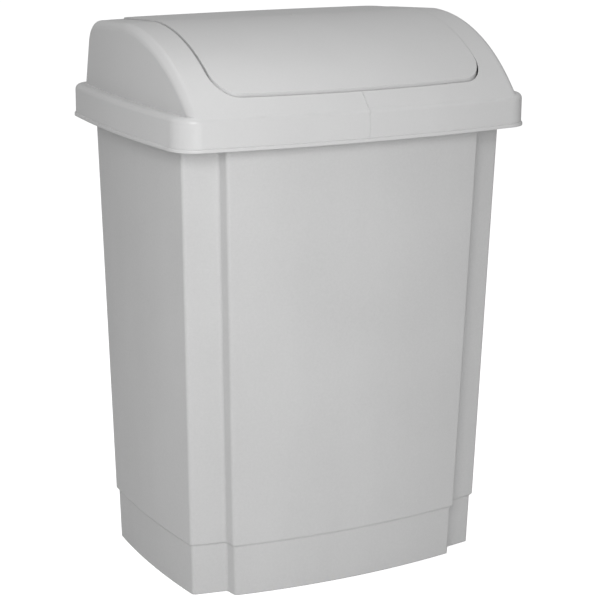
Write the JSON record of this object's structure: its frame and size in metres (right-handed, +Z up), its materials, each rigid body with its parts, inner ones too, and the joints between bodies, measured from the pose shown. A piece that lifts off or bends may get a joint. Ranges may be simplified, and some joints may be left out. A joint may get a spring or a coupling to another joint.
{
  "type": "swing-lid trash can",
  "caption": "Tall tapered kitchen bin with a lift-off domed hood and a swinging flap lid, in moulded plastic.",
  "frame": {"origin": "middle of the base, on the floor", "axes": "+Z up, -Y to the front where the dome is round, X across the width"},
  "size_m": [0.4086, 0.3096, 0.5716],
  "materials": {
    "bucket_plastic": "fine matte grain, light grey",
    "hood_plastic": "satin, light grey",
    "flap_plastic": "satin, light grey"
  },
  "bodies": {
    "bucket": {"bucket": "bucket_plastic"},
    "hood": {"hood": "hood_plastic"},
    "flap": {"flap": "flap_plastic"}
  },
  "joints": [
    {"name": "hood_lift", "type": "slide", "parent": "bucket", "child": "hood", "axis": [0, 0, 1], "range_m": [0, 0.3]},
    {"name": "flap_swing", "type": "hinge", "parent": "hood", "child": "flap", "pos_m": [0, -0.01644, 0.5608], "axis": [1, 0, 0], "range_deg": [-80, 80]}
  ]
}
